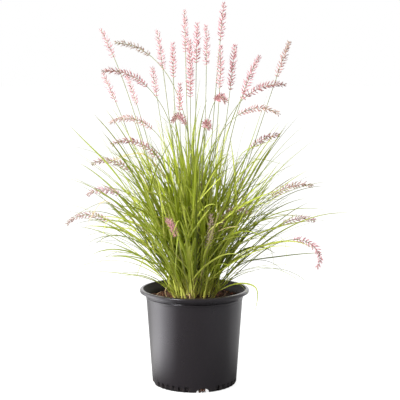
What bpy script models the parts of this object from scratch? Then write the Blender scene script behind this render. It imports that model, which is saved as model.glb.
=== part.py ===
# Fountain grass clump in a thermoformed nursery pot.
# Metres, +Z up. The origin is the middle of the pot's underside, on the floor.
# The viewer's side of the pot is -Y, and azimuths run from +X towards +Y, in degrees.

import math

import bpy
import numpy as np
from mathutils import noise, Vector
from mathutils.bvhtree import BVHTree

MM = 0.001
GAP = 0.3 * MM  # daylight kept between pieces that touch

# Pot
POT_HEIGHT = 202 * MM
RIM_RADIUS = 114 * MM
BASE_RADIUS = 88.5 * MM
SHOULDER_RADIUS = 100.5 * MM  # body just under the two grooves
SHOULDER_HEIGHT = 178 * MM
COLLAR_RADIUS = 102.4 * MM  # foot of the flared collar
COLLAR_HEIGHT = 190 * MM
MOUTH_RADIUS = 106.8 * MM
LIP_DROP = 7 * MM  # how far the turned-down lip hangs
WALL = 1.8 * MM
FLOOR_RISE = 6.5 * MM  # the floor is raised between the middle pad and the foot ring
PAD_RADIUS = 36 * MM
FOOT_INNER_RADIUS = 79 * MM
POT_SEGMENTS = 36

# Drain holes and the flutes pressed between them, round the bottom edge
DRAIN_COUNT = 4
DRAIN_AZIMUTH = 281.5
DRAIN_WIDTH = 28 * MM
DRAIN_HEIGHT = 10 * MM
DRAIN_CUT = 26 * MM  # longer than the wall is thick there
FLUTES_PER_QUARTER = 6
FLUTE_PITCH = 9.2
FLUTE_RADIUS = 3.2 * MM
FLUTE_HEIGHT = 13 * MM
FLUTE_PRESS = 1.3 * MM

# Soil and crown
SOIL_TOP = 181 * MM
SOIL_ROUGHNESS = 3 * MM
SOIL_LEVEL = 55 * MM  # level inside this radius, under the crown
SOIL_RINGS = (62 * MM, 76 * MM, 89 * MM)  # where its top may rise or dip
CROWN_INNER = 4 * MM
CROWN_OUTER = 42 * MM
CROWN_EDGE = 3 * MM
STEEPEST_LEAN = 48
CROWN_POWER = 0.6  # how quickly the roots of leaning stems move outward

# Stalk radii in millimetres, root to spike, and the bottlebrush outline over the spike
STALK_RADII = (1.8, 1.6, 1.3, 1.1)
SPIKE_OUTLINE = ((0.0, 0.12), (0.1, 0.75), (0.35, 1.0), (0.65, 0.92), (0.88, 0.58), (1.0, 0.14))
STALK_POWER = 4  # a stalk stays straight and its spike does most of the bowing
LEAF_POWER = 2
LEAF_OUTLINE = (
    (0.0, 4.5),
    (0.12, 7.0),
    (0.28, 12.0),
    (0.45, 17.0),
    (0.62, 19.0),
    (0.78, 16.0),
    (0.9, 10.0),
    (1.0, 2.0),
)  # share of length, half width in millimetres
LEAF_THICKNESS = 0.7  # of its width
TURN_STEP = 1.5  # degrees between tries when a piece is turned clear of its neighbours
MOST_TURNS = 30

# Every flower stalk: azimuth, lean at the root, droop to the tip, length and spike length
# in millimetres, and the spike's half width.
STALKS = (
    (150, 7, 4, 545, 84, 8.0),
    (205, 5, -6, 515, 70, 7.5),
    (105, 7, -4, 585, 88, 8.0),
    (60, 0, 4, 555, 84, 9.0),
    (235, 1, 0, 520, 118, 9.0),
    (300, 5, -8, 551, 82, 8.0),
    (30, 5, 2, 599, 80, 8.5),
    (325, 7, -8, 513, 88, 8.5),
    (350, 8, -3, 515, 93, 10.5),
    (340, 10, 20, 507, 95, 8.5),
    (8, 18, 2, 547, 78, 8.5),
    (172, 15, 13, 571, 64, 7.5),
    (160, 20, 8, 487, 68, 7.5),
    (145, 17, 9, 471, 66, 7.0),
    (128, 15, 0, 479, 64, 7.5),
    (215, 5, -8, 433, 56, 7.0),
    (175, 0, 92, 589, 78, 7.0),
    (190, 3, 98, 543, 100, 10.0),
    (200, 4, 122, 451, 98, 8.5),
    (205, 6, 116, 399, 112, 8.5),
    (182, 16, 103, 367, 92, 8.5),
    (195, 24, 102, 323, 70, 8.5),
    (178, 38, 108, 308, 98, 7.5),
    (5, 4, 98, 512, 95, 9.5),
    (352, 2, 125, 479, 90, 8.5),
    (15, 12, 78, 387, 70, 8.5),
    (358, 28, 80, 332, 92, 8.5),
    (12, 42, 75, 284, 74, 8.0),
    (345, 45, 175, 311, 98, 8.5),
    (284, 9, 108, 525, 76, 10.0),
    (281, 13, 104, 475, 76, 10.0),
    (240, 0, 124, 459, 92, 8.5),
    (252, 30, 44, 234, 72, 8.0),
    (320, 13, 114, 243, 130, 9.0),
    (289, 27, -24, 194, 78, 6.5),
)

# Every leaf tuft: azimuth, lean, droop and length in millimetres.
TUFTS = (
    (45, 6, 20, 360),
    (165, 6, 22, 370),
    (285, 6, 22, 350),
    (18, 15, 32, 400),
    (90, 14, 32, 390),
    (155, 15, 34, 390),
    (240, 16, 38, 370),
    (308, 15, 36, 370),
    (2, 21, 36, 400),
    (62, 24, 42, 400),
    (122, 24, 42, 400),
    (172, 22, 40, 380),
    (207, 27, 48, 380),
    (262, 32, 56, 325),
    (316, 26, 46, 360),
    (358, 37, 60, 358),
    (184, 31, 58, 328),
    (152, 42, 80, 330),
    (30, 44, 85, 330),
    (332, 40, 110, 256),
    (216, 42, 105, 245),
    (92, 38, 70, 350),
)


def clear_scene():
    for old in list(bpy.data.objects):
        bpy.data.objects.remove(old, do_unlink=True)


def new_collection(name):
    collection = bpy.data.collections.new(name)
    bpy.context.scene.collection.children.link(collection)
    return collection


def plain_material(name, colour, roughness):
    material = bpy.data.materials.new(name)
    material.use_nodes = True
    shader = material.node_tree.nodes["Principled BSDF"]
    shader.inputs["Base Color"].default_value = (*colour, 1)
    shader.inputs["Roughness"].default_value = roughness
    shader.inputs["Metallic"].default_value = 0
    return material


def at_azimuth(radius, degrees, height=0.0):
    turn = math.radians(degrees)
    return Vector((radius * math.cos(turn), radius * math.sin(turn), height))


# Turned shapes


def turned(name, profile, collection, material):
    """A profile of (radius, height) points, going down its outer side, spun about the Z axis."""
    mesh = bpy.data.meshes.new(name)
    points = [(radius, 0, height) for radius, height in profile]
    mesh.from_pydata(points, [(i, i + 1) for i in range(len(points) - 1)], [])
    spun = bpy.data.objects.new(name, mesh)
    collection.objects.link(spun)
    screw = spun.modifiers.new("Spin", "SCREW")
    screw.steps = screw.render_steps = POT_SEGMENTS
    screw.use_merge_vertices = True
    screw.merge_threshold = 0.01 * MM
    mesh.materials.append(material)
    return spun


def wall_radius(height):
    """Outer radius of the tapered body at a height."""
    rise = (height - FLOOR_RISE) / (SHOULDER_HEIGHT - FLOOR_RISE)
    return BASE_RADIUS + rise * (SHOULDER_RADIUS - BASE_RADIUS)


def inside_outline():
    """The pot's inner skin from the middle of its floor to the mouth."""
    floor = FLOOR_RISE + WALL
    return [
        (0, WALL),
        (PAD_RADIUS - 2 * MM, WALL),
        (PAD_RADIUS + 3 * MM, floor),
        (FOOT_INNER_RADIUS - 1 * MM, floor),
        (wall_radius(floor) - WALL - 1 * MM, floor + 2 * MM),
        (wall_radius(floor) - WALL, floor + 7 * MM),
        (SHOULDER_RADIUS - WALL, SHOULDER_HEIGHT),
        (COLLAR_RADIUS - WALL, COLLAR_HEIGHT),
        (MOUTH_RADIUS - 4 * MM, POT_HEIGHT - LIP_DROP),
        (MOUTH_RADIUS, POT_HEIGHT - 1.6 * MM),
    ]


def outside_outline():
    """From the top of the lip down the outside and back along the underside to the middle."""
    lip_foot = POT_HEIGHT - LIP_DROP
    lip = [
        (MOUTH_RADIUS + 2 * MM, POT_HEIGHT),
        (RIM_RADIUS - 1.6 * MM, POT_HEIGHT - 1.2 * MM),
        (RIM_RADIUS, POT_HEIGHT - 3.6 * MM),
        (RIM_RADIUS, lip_foot),
        (RIM_RADIUS - WALL, lip_foot),
        (RIM_RADIUS - WALL - 0.4 * MM, POT_HEIGHT - 4 * MM),
        (MOUTH_RADIUS + 1.8 * MM, POT_HEIGHT - 4 * MM),
    ]
    body = [
        (COLLAR_RADIUS + 2.4 * MM, lip_foot),
        (COLLAR_RADIUS, COLLAR_HEIGHT),
        (SHOULDER_RADIUS + 0.5 * MM, COLLAR_HEIGHT - 2 * MM),
        (SHOULDER_RADIUS + 1.4 * MM, COLLAR_HEIGHT - 5 * MM),
        (SHOULDER_RADIUS, SHOULDER_HEIGHT + 2 * MM),
        (BASE_RADIUS, FLOOR_RISE),
        (BASE_RADIUS - 0.9 * MM, 3.5 * MM),
        (BASE_RADIUS - 3 * MM, 0.8 * MM),
        (BASE_RADIUS - 5.5 * MM, 0),
    ]
    underside = [
        (FOOT_INNER_RADIUS + 1.5 * MM, 0),
        (FOOT_INNER_RADIUS, FLOOR_RISE),
        (PAD_RADIUS + 5 * MM, FLOOR_RISE),
        (PAD_RADIUS, 0),
        (0, 0),
    ]
    return lip + body + underside


def cut(target, cutter, name):
    boolean = target.modifiers.new(name, "BOOLEAN")
    boolean.operation = "DIFFERENCE"
    boolean.solver = "EXACT"
    boolean.object = cutter


def hidden(cutter, cutters):
    for owner in list(cutter.users_collection):
        owner.objects.unlink(cutter)
    cutters.objects.link(cutter)
    cutter.hide_render = True
    cutter.display_type = "WIRE"
    return cutter


def drain_cutter(azimuth, cutters):
    """A rounded-top slot through the foot of the wall."""
    bpy.ops.mesh.primitive_cylinder_add(vertices=12, radius=DRAIN_WIDTH / 2, depth=DRAIN_CUT)
    cutter = bpy.context.object
    cutter.name = f"drain_cutter_{round(azimuth)}"
    cutter.scale = (DRAIN_HEIGHT / (DRAIN_WIDTH / 2), 1, 1)
    cutter.rotation_euler = (0, math.pi / 2, 0)
    turner = bpy.data.objects.new(f"drain_axis_{round(azimuth)}", None)
    cutters.objects.link(turner)
    turner.rotation_euler.z = math.radians(azimuth)
    cutter.parent = turner
    cutter.location.x = BASE_RADIUS - 2 * MM
    cutter.location.z = -0.2 * MM
    return hidden(cutter, cutters)


def flute_cutter(azimuth, cutters):
    """An upright rod that presses one shallow flute into the bottom edge."""
    bpy.ops.mesh.primitive_cylinder_add(
        vertices=8,
        radius=FLUTE_RADIUS,
        depth=2 * FLUTE_HEIGHT,
        location=at_azimuth(BASE_RADIUS + FLUTE_RADIUS - FLUTE_PRESS, azimuth, -1 * MM),
        rotation=(0, 0, math.radians(azimuth)),
    )
    cutter = bpy.context.object
    cutter.name = f"flute_cutter_{round(azimuth * 10)}"
    return hidden(cutter, cutters)


def make_pot(collection, cutters, material):
    pot = turned("pot", inside_outline() + outside_outline(), collection, material)
    quarter = 360 / DRAIN_COUNT
    for hole in range(DRAIN_COUNT):
        start = DRAIN_AZIMUTH + hole * quarter
        cut(pot, drain_cutter(start, cutters), f"Drain {hole}")
        for flute in range(FLUTES_PER_QUARTER):
            along = (flute - (FLUTES_PER_QUARTER - 1) / 2) * FLUTE_PITCH
            azimuth = start + quarter / 2 + along
            cut(pot, flute_cutter(azimuth, cutters), f"Flute {hole}.{flute}")
    return pot


def make_soil(collection, material):
    """The root ball fills the pot up to the headspace, with a crumbly top round the crown."""
    skin = [(max(radius - GAP, 0), height + GAP) for radius, height in inside_outline()[:6]]
    mouth = SHOULDER_RADIUS - WALL - GAP - 0.2 * MM
    radii = (0, CROWN_OUTER + CROWN_EDGE + 3 * MM, *SOIL_RINGS, mouth)
    top = [(radius, SOIL_TOP) for radius in radii]
    soil = turned("soil", top + skin[::-1], collection, material)
    graph = bpy.context.evaluated_depsgraph_get()
    mesh = bpy.data.meshes.new_from_object(soil.evaluated_get(graph))
    for vertex in mesh.vertices:
        radius = math.hypot(vertex.co.x, vertex.co.y)
        if vertex.co.z > SOIL_TOP - MM and SOIL_LEVEL < radius < mouth - 2 * MM:
            vertex.co.z += SOIL_ROUGHNESS * noise.noise(vertex.co * 60)
    soil.modifiers.clear()
    soil.data = mesh
    return soil


# The crown and what grows from it


def root_radius(lean):
    """How far from the middle of the crown a stem with this lean grows."""
    reach = (abs(lean) / STEEPEST_LEAN) ** CROWN_POWER
    return CROWN_INNER + reach * (CROWN_OUTER - CROWN_INNER)


def crown_lean(radius):
    """The slope of the crown there, so that every stem stands square to it."""
    reach = max(radius - CROWN_INNER, 0) / (CROWN_OUTER - CROWN_INNER)
    return STEEPEST_LEAN * reach ** (1 / CROWN_POWER)


def crown_height(radius):
    """Height of the crown's top, found by following its slope in from the edge."""
    steps = np.linspace(radius, CROWN_OUTER, 60)
    slopes = [math.tan(math.radians(crown_lean(step))) for step in steps]
    return SOIL_TOP + GAP + CROWN_EDGE + float(np.mean(slopes)) * (CROWN_OUTER - radius)


def make_crown(collection, material):
    radii = np.linspace(0, CROWN_OUTER, 8)
    profile = [(float(radius), crown_height(radius)) for radius in radii]
    foot = SOIL_TOP + GAP
    profile += [(CROWN_OUTER + 0.7 * CROWN_EDGE, foot + 0.6 * CROWN_EDGE)]
    profile += [(CROWN_OUTER + CROWN_EDGE, foot), (0, foot)]
    crown = turned("crown", profile, collection, material)
    crown.modifiers["Spin"].steps = crown.modifiers["Spin"].render_steps = POT_SEGMENTS // 3
    return crown


def stem_points(azimuth, lean, droop, length, power, shares):
    """Points of a stem that bows over in its own upright plane, at shares of its length."""
    fine = np.linspace(0, 1, 241)
    angle = np.radians(lean + droop * fine**power)
    step = length * MM / (len(fine) - 1)
    middle = (angle[1:] + angle[:-1]) / 2
    radius = np.concatenate([[0], np.cumsum(np.sin(middle))]) * step + root_radius(lean)
    height = np.concatenate([[0], np.cumsum(np.cos(middle))]) * step
    height += crown_height(root_radius(lean)) + GAP
    return [
        at_azimuth(np.interp(share, fine, radius), azimuth, np.interp(share, fine, height))
        for share in shares
    ]


def set_spline(curve, points, radii):
    """One open spline whose radii are in millimetres, since the bevel is a millimetre."""
    curve.splines.clear()
    spline = curve.splines.new("POLY")
    spline.points.add(len(points) - 1)
    for spot, point, radius in zip(spline.points, points, radii):
        spot.co = (*point, 1)
        spot.radius = radius


def new_curve(name, collection, material):
    curve = bpy.data.curves.new(name, "CURVE")
    curve.dimensions = "3D"
    curve.twist_mode = "MINIMUM"
    curve.use_fill_caps = True
    curve.materials.append(material)
    piece = bpy.data.objects.new(name, curve)
    collection.objects.link(piece)
    return piece


def surface_tree(piece):
    bpy.context.view_layer.update()
    shown = piece.evaluated_get(bpy.context.evaluated_depsgraph_get())
    mesh = shown.to_mesh()
    points = [vertex.co.copy() for vertex in mesh.vertices]
    faces = [tuple(face.vertices) for face in mesh.polygons]
    shown.to_mesh_clear()
    return BVHTree.FromPolygons(points, faces)


def turns():
    """Turns to try, nearest first: none, then a little each way."""
    yield 0
    for step in range(1, MOST_TURNS):
        yield step * TURN_STEP
        yield -step * TURN_STEP


def settle(piece, azimuth, shape, placed):
    """Turns the piece about the clump until a slightly fatter one clears its neighbours."""
    for turn in turns():
        points, radii = shape(azimuth + turn)
        set_spline(piece.data, points, [radius + 0.5 for radius in radii])
        tree = surface_tree(piece)
        if not any(tree.overlap(other) for other in placed):
            break
    else:
        raise ValueError(f"{piece.name} finds no room")
    set_spline(piece.data, points, radii)
    placed.append(surface_tree(piece))


def make_stalk(number, row, placed, collection, material):
    azimuth, lean, droop, length, spike, half_width = row
    piece = new_curve(f"flower_stalk_{number:02d}", collection, material)
    piece.data.bevel_depth = MM
    piece.data.bevel_resolution = 1
    neck = 1 - spike / length
    shares = [neck * share for share in (0, 0.45, 0.75, 0.9)]
    shares += [neck + share * (1 - neck) for share, _ in SPIKE_OUTLINE]
    radii = [*STALK_RADII, *(half_width * width for _, width in SPIKE_OUTLINE)]

    def shape(turned_to):
        return stem_points(turned_to, lean, droop, length, STALK_POWER, shares), radii

    settle(piece, azimuth, shape, placed)


def make_lens(cutters):
    """The flattened section of a tuft, one unit to each side."""
    curve = bpy.data.curves.new("tuft_section", "CURVE")
    curve.dimensions = "2D"
    spline = curve.splines.new("POLY")
    sides = 6
    spline.points.add(sides - 1)
    for index, spot in enumerate(spline.points):
        turn = 2 * math.pi * index / sides
        spot.co = (MM * LEAF_THICKNESS * math.sin(turn), MM * math.cos(turn), 0, 1)
    spline.use_cyclic_u = True
    lens = bpy.data.objects.new("tuft_section", curve)
    cutters.objects.link(lens)
    lens.hide_render = True
    lens.display_type = "WIRE"
    return lens


def make_tuft(number, row, lens, placed, collection, material):
    azimuth, lean, droop, length = row
    piece = new_curve(f"leaf_tuft_{number:02d}", collection, material)
    piece.data.bevel_mode = "OBJECT"
    piece.data.bevel_object = lens
    piece.data.twist_mode = "Z_UP"
    shares = [share for share, _ in LEAF_OUTLINE]
    radii = [width for _, width in LEAF_OUTLINE]

    def shape(turned_to):
        return stem_points(turned_to, lean, droop, length, LEAF_POWER, shares), radii

    settle(piece, azimuth, shape, placed)


def main():
    clear_scene()
    collection = new_collection("potted_fountain_grass")
    cutters = new_collection("helpers")
    pot = make_pot(collection, cutters, plain_material("pot_plastic", (0.03, 0.03, 0.033), 0.4))
    make_soil(collection, plain_material("potting_soil", (0.03, 0.018, 0.01), 0.95))
    make_crown(collection, plain_material("crown_sheaths", (0.2, 0.18, 0.07), 0.8))
    pot.data.shade_smooth()
    placed = []
    flower = plain_material("flower_stalk", (0.62, 0.36, 0.36), 0.8)
    for number, row in enumerate(STALKS, 1):
        make_stalk(number, row, placed, collection, flower)
    leaf = plain_material("leaf_blades", (0.18, 0.25, 0.03), 0.5)
    lens = make_lens(cutters)
    for number, row in enumerate(TUFTS, 1):
        make_tuft(number, row, lens, placed, collection, leaf)


main()
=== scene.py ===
# Potted fountain grass clump: the finished look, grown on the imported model.
# Metres, +Z up. The pot stands on the floor at the origin and its front is the -Y side.

import math

import bpy
import numpy as np
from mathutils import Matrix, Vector, noise


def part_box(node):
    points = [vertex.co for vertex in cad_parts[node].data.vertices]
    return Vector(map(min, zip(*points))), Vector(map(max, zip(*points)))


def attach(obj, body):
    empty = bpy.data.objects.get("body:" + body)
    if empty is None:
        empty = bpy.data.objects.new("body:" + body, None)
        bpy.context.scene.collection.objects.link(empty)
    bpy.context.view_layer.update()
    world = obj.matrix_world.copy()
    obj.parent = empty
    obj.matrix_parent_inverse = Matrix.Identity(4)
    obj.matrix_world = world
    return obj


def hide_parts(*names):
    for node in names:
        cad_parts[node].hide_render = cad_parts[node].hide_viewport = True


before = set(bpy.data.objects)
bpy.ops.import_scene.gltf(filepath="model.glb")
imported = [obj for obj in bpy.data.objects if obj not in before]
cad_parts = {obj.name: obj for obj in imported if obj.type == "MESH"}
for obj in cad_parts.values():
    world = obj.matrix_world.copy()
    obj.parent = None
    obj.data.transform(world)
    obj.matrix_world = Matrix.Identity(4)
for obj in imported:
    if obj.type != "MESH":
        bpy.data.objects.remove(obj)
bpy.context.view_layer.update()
mm = 0.001
print("frame loaded,", len(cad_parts), "nodes")

# ---- small helpers


def fromScreen(red, green, blue):
    # a colour picked on a 0 to 255 scale, as the linear light that a shader takes
    share = np.array([red, green, blue]) / 255
    return tuple(np.where(share <= 0.04045, share / 12.92, ((share + 0.055) / 1.055) ** 2.4))


def unit(vectors):
    return vectors / np.maximum(np.linalg.norm(vectors, axis=-1, keepdims=True), 1e-12)


def around(azimuth):
    # level unit vector at each azimuth in radians
    return np.stack([np.cos(azimuth), np.sin(azimuth), np.zeros_like(azimuth)], -1)


def smoothLine(knots, shares):
    # points at shares of the length of a smooth line through the knots
    reach = np.concatenate([[0], np.cumsum(np.linalg.norm(np.diff(knots, axis=0), axis=1))])
    slopes = np.gradient(knots, reach, axis=0)
    at = np.asarray(shares) * reach[-1]
    low = np.clip(np.searchsorted(reach, at, side="right") - 1, 0, len(reach) - 2)
    span = (reach[low + 1] - reach[low])[:, None]
    t = (at - reach[low])[:, None] / span
    ahead = 3 * t**2 - 2 * t**3
    start = (t**3 - 2 * t**2 + t) * span * slopes[low]
    end = (t**3 - t**2) * span * slopes[low + 1]
    return knots[low] * (1 - ahead) + knots[low + 1] * ahead + start + end


def spotsOf(mesh):
    spots = np.empty(len(mesh.vertices) * 3)
    mesh.vertices.foreach_get("co", spots)
    return spots.reshape(-1, 3)


def newObject(name, data):
    made = bpy.data.objects.new(name, data)
    bpy.context.scene.collection.objects.link(made)
    return made


def evaluated(piece):
    # the mesh that a piece has once its modifiers have run
    bpy.context.view_layer.update()
    return bpy.data.meshes.new_from_object(piece.evaluated_get(bpy.context.evaluated_depsgraph_get()))


def nodeRings(name, sides=6):
    # centres and radii of the rings of a packed stem, from its root to its tip
    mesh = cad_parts[name].data
    spots = spotsOf(mesh)
    keys = np.round(spots / (0.02 * mm)).astype(np.int64)
    _, first, index = np.unique(keys, axis=0, return_index=True, return_inverse=True)
    spots = spots[first]
    edges = np.empty(len(mesh.edges) * 2, int)
    mesh.edges.foreach_get("vertices", edges)
    edges = index.reshape(-1)[edges].reshape(-1, 2)
    level = np.full(len(spots), -1)
    middle = np.array([0, 0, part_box("crown")[1].z])
    level[np.argsort(np.linalg.norm(spots - middle, axis=1))[:sides]] = 0
    ring = 0
    while (level < 0).any():
        touching = edges[(level[edges] == ring).any(axis=1)].ravel()
        level[touching[level[touching] < 0]] = ring + 1
        ring += 1
    centres = np.array([spots[level == r].mean(0) for r in range(ring + 1)])
    sizes = [np.linalg.norm(spots[level == r] - centres[r], axis=1).mean() for r in range(ring + 1)]
    return centres, np.array(sizes)


# ---- mesh building: every blade, stem, spikelet and fibre is a closed tube of rings


def tubes(rings, material=0, area=(0, 0, 1, 1), **marks):
    # rings is (tube, ring, side, xyz). Each tube gets its own cell of the bake map
    count, steps, sides = rings.shape[:3]
    tube = np.arange(count)[:, None, None]
    ring = np.arange(steps - 1)[None, :, None]
    side = np.arange(sides)[None, None, :]
    first = (tube * steps + ring) * sides
    a = first + side
    b = first + (side + 1) % sides
    quads = np.stack([a, b, b + sides, a + sides], -1).reshape(-1)
    starts = tube[:, 0] * steps * sides + np.arange(sides)[::-1]
    ends = (tube[:, 0] * steps + steps - 1) * sides + np.arange(sides)
    columns = max(1, round(math.sqrt(count * 1.6 * (area[2] - area[0]) / (area[3] - area[1]))))
    rows = math.ceil(count / columns)
    wide, high = (area[2] - area[0]) / columns, (area[3] - area[1]) / rows
    column, row = (tube % columns), (tube // columns)

    def across(k):
        return area[0] + (column + 0.12 + 0.76 * k / sides) * wide

    def along(r):
        return area[1] + (row + 0.1 + 0.8 * r / (steps - 1)) * high

    zero = np.zeros((count, steps - 1, sides))
    corners = [(side, ring), (side + 1, ring), (side + 1, ring + 1), (side, ring + 1)]
    quadMap = np.stack([np.stack([across(k) + zero, along(r) + zero], -1) for k, r in corners], 3)
    k = np.arange(sides)[None, None, :]
    bulge = 0.06 * high * np.sin(np.pi * k / (sides - 1))
    flat = np.zeros((count, 1, sides))
    startMap = np.stack([across(k) + flat, along(0) - bulge + flat], -1)[:, :, ::-1]
    endMap = np.stack([across(k) + flat, along(steps - 1) + bulge + flat], -1)
    faceCount = count * (steps - 1) * sides
    spread = {
        name: np.broadcast_to(np.asarray(value, float), (count, steps, sides)).reshape(-1)
        for name, value in marks.items()
    }
    return {
        "points": rings.reshape(-1, 3),
        "loops": np.concatenate([quads, starts.reshape(-1), ends.reshape(-1)]),
        "sizes": np.concatenate([np.full(faceCount, 4), np.full(2 * count, sides)]),
        "map": np.concatenate([m.reshape(-1, 2) for m in (quadMap, startMap, endMap)]),
        "marks": spread,
        "material": material,
    }


def makePiece(name, chunks, materials, node, sharp=50):
    # one object from its chunks of mesh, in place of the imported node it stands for
    points = np.concatenate([c["points"] for c in chunks])
    offsets = np.cumsum([0] + [len(c["points"]) for c in chunks[:-1]])
    loops = np.concatenate([c["loops"] + o for c, o in zip(chunks, offsets)])
    sizes = np.concatenate([c["sizes"] for c in chunks])
    mesh = bpy.data.meshes.new(name)
    mesh.vertices.add(len(points))
    mesh.vertices.foreach_set("co", points.astype(np.float32).ravel())
    mesh.loops.add(len(loops))
    mesh.loops.foreach_set("vertex_index", loops.astype(np.int32))
    mesh.polygons.add(len(sizes))
    mesh.polygons.foreach_set("loop_start", (np.cumsum(sizes) - sizes).astype(np.int32))
    numbers = np.concatenate([np.full(len(c["sizes"]), c["material"]) for c in chunks])
    mesh.polygons.foreach_set("material_index", numbers.astype(np.int32))
    mesh.update(calc_edges=True)
    bakeMap = mesh.uv_layers.new(name="OFBake")
    bakeMap.data.foreach_set("uv", np.concatenate([c["map"] for c in chunks]).astype(np.float32).ravel())
    for mark in sorted({m for c in chunks for m in c["marks"]}):
        values = [c["marks"].get(mark, np.zeros(len(c["points"]))) for c in chunks]
        layer = mesh.attributes.new(mark, "FLOAT", "POINT")
        layer.data.foreach_set("value", np.concatenate(values).astype(np.float32))
    mesh.shade_smooth()
    mesh.set_sharp_from_angle(angle=math.radians(sharp))
    for material in materials:
        mesh.materials.append(material)
    piece = newObject(name, mesh)
    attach(piece, "root")
    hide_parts(node)


def sweep(line, sideways, outward, section, wide, thick):
    # a section carried along lines: line is (tube, ring, xyz), section is (side, 2)
    x = section[:, 0] * wide[..., None]
    y = section[:, 1] * thick[..., None]
    return line[:, :, None] + sideways[:, :, None] * x[..., None] + outward[:, :, None] * y[..., None]


def roundSection(sides):
    turn = np.arange(sides) * 2 * math.pi / sides
    return np.stack([np.cos(turn), np.sin(turn)], -1)


def levelRing(sides, radius, height):
    # one level ring of points, its radius the same all round or given for each point
    turn = np.arange(sides) * 2 * math.pi / sides
    return np.stack([radius * np.cos(turn), radius * np.sin(turn), np.full(sides, float(height))], -1)


def archLines(root, azimuth, lean, droop, length, power, sway, rings, kink=0.0, wave=0.0):
    # stems that bow over: angles in degrees, one value for each stem. A kink folds the last third down
    t = np.linspace(0, 1, rings)[None, :]
    folded = np.broadcast_to(kink, azimuth.shape)[:, None] * np.clip((t - 0.6) / 0.09, 0, 1)
    rolling = np.broadcast_to(wave, azimuth.shape)[:, None] * np.sin(7.5 * t)
    tilt = np.radians(lean[:, None] + droop[:, None] * t**power + folded + rolling)
    turn = np.radians(azimuth[:, None] + sway[:, None] * t**1.5)
    ahead = around(turn) * np.sin(tilt)[..., None]
    ahead[..., 2] = np.cos(tilt)
    step = (ahead[:, 1:] + ahead[:, :-1]) / 2 * (length / (rings - 1))[:, None, None]
    line = root[:, None] + np.concatenate([np.zeros((len(root), 1, 3)), np.cumsum(step, 1)], 1)
    sideways = around(turn + math.pi / 2)
    return line, ahead, sideways, np.cross(ahead, sideways)


# ---- shared node groups


def addNode(tree, kind, sockets=None, **settings):
    made = tree.nodes.new("ShaderNode" + kind)
    for name, value in settings.items():
        setattr(made, name, value)
    for name, value in (sockets or {}).items():
        give(made.inputs[name], value)
    return made


def give(socket, value):
    # a socket gets a link where the value comes from another node, or else the value itself
    if isinstance(value, bpy.types.NodeSocket):
        socket.id_data.links.new(value, socket)
    else:
        socket.default_value = value


def treeOf(*values):
    return next(value.id_data for value in values if isinstance(value, bpy.types.NodeSocket))


def maths(operation, first, second=0.0, clamp=False):
    made = addNode(treeOf(first, second), "Math", {0: first, 1: second}, operation=operation, use_clamp=clamp)
    return made.outputs[0]


def times(first, second, clamp=False):
    return maths("MULTIPLY", first, second, clamp)


def plus(first, second):
    return maths("ADD", first, second)


def blend(share, first, second):
    made = addNode(treeOf(share), "Mix", {0: share}, data_type="RGBA", clamp_factor=True)
    for index, value in ((6, first), (7, second)):
        give(made.inputs[index], (*value, 1) if isinstance(value, tuple) else value)
    return made.outputs[2]


def layered(base, *layers):
    # colours laid one over another, each by its own share
    for share, colour in layers:
        base = blend(share, base, colour)
    return base


def ramp(value, low, high, fromLow=0.0, fromHigh=1.0):
    limits = {"From Min": fromLow, "From Max": fromHigh, "To Min": low, "To Max": high}
    return addNode(treeOf(value), "MapRange", {"Value": value, **limits}, clamp=True).outputs[0]


def noiseOf(place, scale, detail):
    noise = {"Vector": place, "Scale": scale, "Detail": detail}
    return addNode(treeOf(place), "TexNoise", noise).outputs["Fac"]


def mark(tree, name):
    return addNode(tree, "Attribute", attribute_name=name).outputs["Fac"]


def ownPlace(tree):
    return addNode(tree, "TexCoord").outputs["Object"]


def split(vector):
    return addNode(treeOf(vector), "SeparateXYZ", {"Vector": vector}).outputs


def newGroup(name, takes, gives):
    group = bpy.data.node_groups.new(name, "ShaderNodeTree")
    for label, value in takes.items():
        group.interface.new_socket(label, in_out="INPUT", socket_type="NodeSocketFloat").default_value = value
    for label in gives:
        group.interface.new_socket(label, in_out="OUTPUT", socket_type="NodeSocketFloat")
    return group, group.nodes.new("NodeGroupInput").outputs, group.nodes.new("NodeGroupOutput").inputs


def makeGrainGroup():
    # patches and specks through the solid, as a mask and as a height
    group, given, out = newGroup("grainPatches", {"Scale": 100.0, "Contrast": 0.3}, ["Mask", "Height"])
    place = ownPlace(group)
    broad = noiseOf(place, given["Scale"], 3.0)
    fine = noiseOf(place, times(given["Scale"], 7.0), 2.0)
    both = plus(times(broad, 0.7), times(fine, 0.3))
    low = maths("SUBTRACT", 0.5, given["Contrast"])
    above = maths("SUBTRACT", both, low)
    give(out["Mask"], maths("DIVIDE", above, times(given["Contrast"], 2.0), clamp=True))
    give(out["Height"], both)
    return group


def makeFibreGroup():
    # fine streaks that run the length of a blade, stem or husk, broken up along it
    group, given, out = newGroup("lengthwiseFibres", {"Streaks": 9.0, "Breaks": 5.0}, ["Streak", "Height"])
    spot = addNode(group, "CombineXYZ", {
        "X": times(mark(group, "across"), given["Streaks"]),
        "Y": times(mark(group, "along"), given["Breaks"]),
        "Z": times(mark(group, "tint"), 37.0),
    })
    value = ramp(noiseOf(spot.outputs[0], 1.0, 2.0), 0.0, 1.0, 0.3, 0.7)
    give(out["Streak"], value)
    give(out["Height"], value)
    return group


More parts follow.
